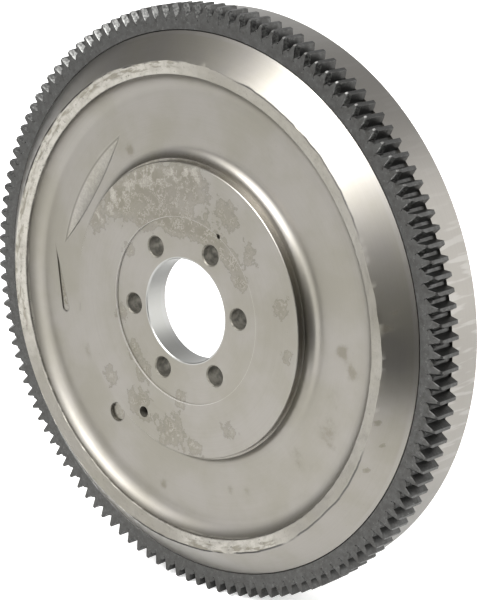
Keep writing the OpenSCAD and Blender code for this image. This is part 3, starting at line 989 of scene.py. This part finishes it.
def lip_coats(lip, r, angle, y, mottle, grit, front):
    """How far a place is on the lip and in the painted shade of the step beside it, and the lip's coats.

    Lip is the distance outside its outer edge in millimetres. The casting's skin is pale, pitted and streaked
    with rust where it is thick. Painted shade darkens the lip's inner edge, where the recess's wall falls in
    shade, and the step where the lip lies below the cone.
    """
    c, skin = colours(), stored(lip, "skin")
    on_lip = times(ramp(lip, -10.2, -9.6), fade(lip, -0.12, 0.12), front)
    streaks = turned_lines(r, angle, y, 2.6 * MM, 16.8)
    rust = times(ramp(streaks, 0.46, 0.6), ramp(lip, -7, -4.5), on_lip, skin)
    pits = times(fade(grit, 0.34, 0.42), on_lip, ramp(skin, 0.6, 0.9, 0.4, 1.0))
    # painted shade: a dark line in the step where the lip lies below the cone's edge
    step_shade = times(fade(apart(lip, -0.2), 0.25, 1.0), stored(lip, "step"), front)
    # painted shade: a dark line along the lip's inner edge, where the recess's wall falls in shade
    inner = fade(apart(r, sizes().lip_inner), 0.1 * MM, 0.7 * MM)
    return on_lip, step_shade, [
        (times(on_lip, 0.3), c.film),
        (times(ramp(mottle, 0.35, 0.6, 0.3, 0.75), skin, on_lip), c.scale),
        (times(rust, ramp(skin, 0.6, 0.9, 0.0, 0.6)), c.stain),
        (times(pits, 0.5), c.dark_grime_and_shade),
        (step_shade, c.dark_grime_and_shade),
        (times(inner, front, ramp(mottle, 0.35, 0.55), 0.6), c.dark_grime_and_shade),
    ]


def turned_grey_iron():
    """Grey cast iron, turned on a lathe: a soft grey metal with rings of fine tool lines, so that its
    highlights stretch across the rings, under a thin dried film of oil. Its lip was never machined: there
    the casting's pale gritty skin scatters the light."""
    c, s = colours(), sizes()
    material, tree = blank("turned_grey_iron")
    place, r, angle, y = wheel_places(tree)
    lip = stored(tree, "lip")
    lines = turned_lines(r, angle, y, 0.9 * MM)
    cloud = grain(place, 55 * MM, 5, 0.6)
    mottle = grain(place, 8 * MM, 6, 0.68)
    grit = grain(place, 2.2 * MM, 4, 0.75)
    front = fade(y, 13 * MM, 14 * MM)

    under_oil, oil = dried_oil(place, r, mottle)
    on_lip, step_shade, lip_skin_and_shade = lip_coats(lip, r, angle, y, mottle, grit, front)
    # painted highlight: the register's wall is painted pale and matt
    wall = times(fade(apart(r, s.register), 0.05 * MM, 0.25 * MM), front)
    _, root, _, _ = ring_radii()
    on_rim = ramp(r, root + s.rim_rise - 1.5 * MM, root + s.rim_rise - 0.5 * MM)
    # painted reflection: pale bars across the rim, strongest where it faces right
    reflection_bars = ramp(stretched_noise((angle, 34), (y, 22)), 0.52, 0.6)
    reflection_sector = ramp(calculate("ABSOLUTE", angle), 0.3, 0.5, 0.1, 0.02)
    colour = coated(
        rgba(c.iron),
        (times(ramp(cloud, 0.36, 0.66, 0.0, 0.8), front), c.film),
        (ramp(lines, 0.35, 0.75, 0.0, 0.05), c.stain),
        (ramp(grit, 0.66, 0.74, 0.0, 0.3), c.stain),
        *oil, *hollow_floors_and_edge_shade(place, grit, front), *lip_skin_and_shade,
        (times(wall, 0.8), c.wear_and_highlight),
        (times(reflection_bars, on_rim, reflection_sector), c.painted_reflection),
        (ramp(r, s.bore + MM, s.bore + 1.5 * MM, 0.45, 0.0), c.bore),
    )

    recess = ramp(r, s.lip_inner - 19 * MM, s.lip_inner - 11 * MM)
    off_hub, near_hub = ramp(r, s.hub + 0.5 * MM, s.hub + MM), fade(r, s.hub + 9 * MM, s.hub + 15 * MM)
    rough = plus(
        ramp(cloud, 0.3, 0.7, 0.3, 0.36), times(under_oil, 0.05), times(on_lip, 0.1),
        times(recess, fade(lip, -9.6, -9.2), front, 0.14), times(off_hub, near_hub, front, 0.02),
    )
    height = plus(times(lines, 0.22), times(mottle, 0.5), times(grit, on_lip, 3.0))
    # where the step beside the lip is painted dark as shade and the register's wall is painted pale as a
    # highlight, the iron is not metallic
    bare = calculate("MULTIPLY_ADD", step_shade, -0.9, 1.0)
    bare = calculate("MULTIPLY_ADD", wall, -0.85, bare, clamp=True)
    around_axis = vector_sum("CROSS_PRODUCT", place, (0, 1, 0))
    return surfaced(material, {
        "Base Color": colour, "Metallic": bare, "Roughness": rough, "Normal": bumped(height),
        "Anisotropic": 0.35, "Tangent": around_axis,
    })


def drilled_iron_and_shade():
    """Grey cast iron inside drilled holes: rougher, with oil and grime left in it, and darker as painted
    shade in the holes.
    """
    c = colours()
    material, tree = blank("drilled_iron_and_shade")
    hole_grime_and_shade = grain(object_places(tree), 4 * MM, 4)
    return surfaced(material, {
        "Base Color": coated(rgba(c.film), (ramp(hole_grime_and_shade, 0.35, 0.7, 0.1, 0.6), c.dark_grime_and_shade)),
        "Metallic": 0.8, "Roughness": ramp(hole_grime_and_shade, 0.3, 0.7, 0.5, 0.65),
    })


def quenched_ring_steel():
    """Carbon steel, hobbed and flame hardened: an even dark grey with a faint satin sheen, slightly mottled
    by the quench, with fine specks of scale and of bare steel."""
    c = colours()
    material, tree = blank("quenched_ring_steel")
    place, r, angle, y = wheel_places(tree)
    mottle = grain(place, 5 * MM, 4, 0.6)
    lines = turned_lines(r, angle, y, 0.8 * MM)
    fine = grain(place, 1.8 * MM, 4, 0.7)
    colour = coated(
        rgba(c.steel),
        (ramp(mottle, 0.3, 0.7, 0.0, 0.35), c.dark_grime_and_shade),
        (ramp(fine, 0.52, 0.66, 0.0, 0.4), c.dark_grime_and_shade),
        (ramp(fine, 0.3, 0.42, 0.3, 0.0), c.bevel),
    )
    return surfaced(material, {
        "Base Color": colour, "Metallic": 1.0, "Roughness": ramp(mottle, 0.3, 0.7, 0.36, 0.48),
        "Normal": bumped(plus(mottle, times(lines, 0.4), fine)),
    })


def milled_tooth_ends():
    """The ring's steel where the lead-in was milled after hardening: bare, lighter and a little brighter."""
    c = colours()
    material, tree = blank("milled_tooth_ends")
    marks = grain(object_places(tree), 1.5 * MM, 3)
    return surfaced(material, {
        "Base Color": coated(rgba(c.steel), (ramp(marks, 0.3, 0.7), c.bevel)),
        "Metallic": 1.0, "Roughness": ramp(marks, 0.3, 0.7, 0.3, 0.42),
    })


def ground_dowel_steel():
    """Hardened steel, ground all round: bright and nearly smooth, with faint grinding lines."""
    material, tree = blank("ground_dowel_steel")
    across_grind = add(tree, "ShaderNodeMapping", {0: object_places(tree), 3: (400, 4000, 400)}).outputs[0]
    return surfaced(material, {
        "Base Color": rgba(colours().dowel), "Metallic": 1.0,
        "Roughness": ramp(noise(across_grind), 0.3, 0.7, 0.16, 0.3),
    })


def matt_studio_floor():
    """Painted board: pale and matt, with a very slight unevenness, and lit a little more to the eye so that
    it stays as white as the walls."""
    material, tree = blank("matt_studio_floor")
    cloud = grain(object_places(tree), 400 * MM, 2)
    seen = add(tree, "ShaderNodeLightPath", {}).outputs["Is Camera Ray"]
    return surfaced(material, {
        "Base Color": rgba(colours().floor), "Roughness": ramp(cloud, 0.3, 0.7, 0.8, 0.9),
        "Emission Color": (1, 1, 1, 1), "Emission Strength": times(seen, 0.4),
    })


def black_felt():
    """Black felt on a card: it throws back almost nothing, so that metal facing it looks dark."""
    material, _ = blank("black_felt")
    return surfaced(material, {"Base Color": rgba(colours().felt), "Roughness": 0.95})


# ---------------------------------------------------------------- the studio


FLOOR_RADIUS = 14.0
# A card at the right that leans away from the wheel.
CARD_CORNERS = ((0.24, -0.42, -0.19), (0.47, 0.0, -0.19), (1.36, -0.04, 0.42), (0.70, -1.18, 0.26))
# Where the studio's surround is darker or brighter than its walls, as seen from the wheel: the direction,
# how near it the change starts and ends as cosines, and the share of the walls' brightness.
WALLS = 0.95
SURROUND = (
    ((0.822, -0.560, -0.100), 0.82, 0.935, 0.27),
    ((-0.790, -0.160, 0.590), 0.80, 0.93, 0.4),
    ((-0.100, 0.720, 0.687), 0.93, 0.98, 0.7),
    ((0.050, -0.760, 0.648), 0.78, 0.96, 2.2),
    ((-0.160, -0.880, 0.450), 0.84, 0.97, 2.6),
    ((0.400, -0.340, 0.851), 0.84, 0.97, 3.4),
    ((0.640, 0.760, -0.050), 0.70, 0.92, 1.5),
)


def flat_face(name, points, material):
    """An object that is one flat face through those points."""
    mesh = bpy.data.meshes.new(name)
    mesh.from_pydata(points, [], [list(range(len(points)))])
    mesh.materials.append(material)
    return placed(name, mesh)


def make_floor():
    """A flat round floor under the wheel's lowest teeth."""
    low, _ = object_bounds()
    a = np.linspace(0, 2 * math.pi, 64, endpoint=False)
    edge = [(FLOOR_RADIUS * math.cos(t), FLOOR_RADIUS * math.sin(t), low.z) for t in a]
    floor = flat_face("studio_floor", edge, matt_studio_floor())
    floor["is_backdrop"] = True


def make_dark_card():
    """A black card that the metal mirrors, but that hides and shades nothing."""
    card = flat_face("dark_card", CARD_CORNERS, black_felt())
    card.visible_camera = card.visible_shadow = card.visible_diffuse = False
    card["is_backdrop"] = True


def aim(thing, place, target):
    """Puts a light or camera at place, looking at target, and level."""
    toward = Vector(target) - Vector(place)
    turned = toward.to_track_quat("-Z", "Y").to_matrix().to_4x4()
    thing.matrix_world = Matrix.Translation(Vector(place)) @ turned


def soft_light(name, place, width, height, power):
    """A rectangular softbox of that size and power, facing the wheel's middle."""
    data = bpy.data.lights.new(name, "AREA")
    data.shape, data.size, data.size_y, data.energy = "RECTANGLE", width, height, power
    aim(placed(name, data), place, (0, 0, 0))


def make_lights():
    """A surround that reads white to the eye, while the wheel mirrors its darker and brighter parts, with a
    soft key light above the engine side and a weak one behind."""
    world = bpy.data.worlds.new("studio")
    world.use_nodes = True
    bpy.context.scene.world = world
    tree = world.node_tree
    tree.nodes.clear()
    toward = add(tree, "ShaderNodeTexCoord", {}).outputs["Generated"]
    level = WALLS
    for direction, start, end, share in SURROUND:
        near = vector_sum("DOT_PRODUCT", toward, direction, "Value")
        level = times(ramp(near, start, end, 1.0, share), level)
    seen = add(tree, "ShaderNodeLightPath", {}).outputs["Is Camera Ray"]
    lit, shown = (
        add(tree, "ShaderNodeBackground", {"Color": (1, 1, 1, 1), "Strength": strength}).outputs[0]
        for strength in (level, 1.0)
    )
    mixed = add(tree, "ShaderNodeMixShader", {0: seen, 1: lit, 2: shown}).outputs[0]
    add(tree, "ShaderNodeOutputWorld", {0: mixed})
    soft_light("key_softbox", (0.18, -1.05, 1.22), 0.64, 0.65, 20)
    soft_light("back_softbox", (1.1, 1.5, 0.45), 2.2, 1.3, 9)


def make_camera():
    """The camera, on the engine side and to the right, a little above the axis, and its plain view."""
    low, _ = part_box("ring_gear")
    azimuth, elevation, distance = math.radians(43.29), math.radians(15.63), 1.548
    target = Vector((0, low.y, 0))
    back = Vector((
        math.sin(azimuth) * math.cos(elevation), -math.cos(azimuth) * math.cos(elevation), math.sin(elevation)
    ))
    data = bpy.data.cameras.new("camera")
    data.sensor_width, data.lens = 36, 135.6
    data.shift_x, data.shift_y = 0.064, 0.011
    data.clip_start, data.clip_end = 0.05, 50
    camera = placed("camera", data)
    aim(camera, target + back * distance, target)
    bpy.context.scene.camera = camera
    bpy.context.scene.view_settings.view_transform = "Standard"


# ---------------------------------------------------------------- operators, panel and main


class Builder:
    """What the operators share: each runs its steps in order."""

    def execute(self, context):
        for step in self.steps:
            step()
        return {"FINISHED"}


class FLYWHEEL_OT_casting(Builder, bpy.types.Operator):
    """Builds the cast wheel"""

    bl_idname = "flywheel.casting"
    bl_label = "Cast wheel"
    steps = (make_casting,)


class FLYWHEEL_OT_ring(Builder, bpy.types.Operator):
    """Builds the starter ring gear"""

    bl_idname = "flywheel.ring"
    bl_label = "Starter ring"
    steps = (make_ring,)


class FLYWHEEL_OT_dowels(Builder, bpy.types.Operator):
    """Builds the clutch dowels"""

    bl_idname = "flywheel.dowels"
    bl_label = "Clutch dowels"
    steps = (make_dowels,)


class FLYWHEEL_OT_stage(Builder, bpy.types.Operator):
    """Builds the floor, the dark card, the lights and the camera"""

    bl_idname = "flywheel.stage"
    bl_label = "Studio"
    steps = (make_floor, make_dark_card, make_lights, make_camera)


class FLYWHEEL_PT_panel(bpy.types.Panel):
    """The flywheel's sizes, colours and builders"""

    bl_label = "Flywheel"
    bl_idname = "FLYWHEEL_PT_panel"
    bl_space_type = "VIEW_3D"
    bl_region_type = "UI"
    bl_category = "Flywheel"

    def draw(self, context):
        for builder in (FLYWHEEL_OT_casting, FLYWHEEL_OT_ring, FLYWHEEL_OT_dowels, FLYWHEEL_OT_stage):
            self.layout.operator(builder.bl_idname)
        for group in (sizes(), context.scene.flywheel_ring, colours()):
            box = self.layout.box()
            for name in group.bl_rna.properties.keys():
                if name not in ("rna_type", "name"):
                    box.prop(group, name)


CLASSES = (
    WheelSizes, RingSizes, FinishColours, FLYWHEEL_OT_casting, FLYWHEEL_OT_ring, FLYWHEEL_OT_dowels,
    FLYWHEEL_OT_stage, FLYWHEEL_PT_panel,
)


def register():
    """Registers the classes and hangs the settings on the scene."""
    for kind in CLASSES:
        bpy.utils.register_class(kind)
    bpy.types.Scene.flywheel_sizes = PointerProperty(type=WheelSizes)
    bpy.types.Scene.flywheel_ring = PointerProperty(type=RingSizes)
    bpy.types.Scene.flywheel_colours = PointerProperty(type=FinishColours)


def unregister():
    """Takes the settings and the classes away again."""
    del bpy.types.Scene.flywheel_colours
    del bpy.types.Scene.flywheel_ring
    del bpy.types.Scene.flywheel_sizes
    for kind in reversed(CLASSES):
        bpy.utils.unregister_class(kind)


def main():
    """Builds everything in order."""
    register()
    bpy.ops.flywheel.casting()
    bpy.ops.flywheel.ring()
    bpy.ops.flywheel.dowels()
    bpy.ops.flywheel.stage()


if __name__ == "__main__":
    main()
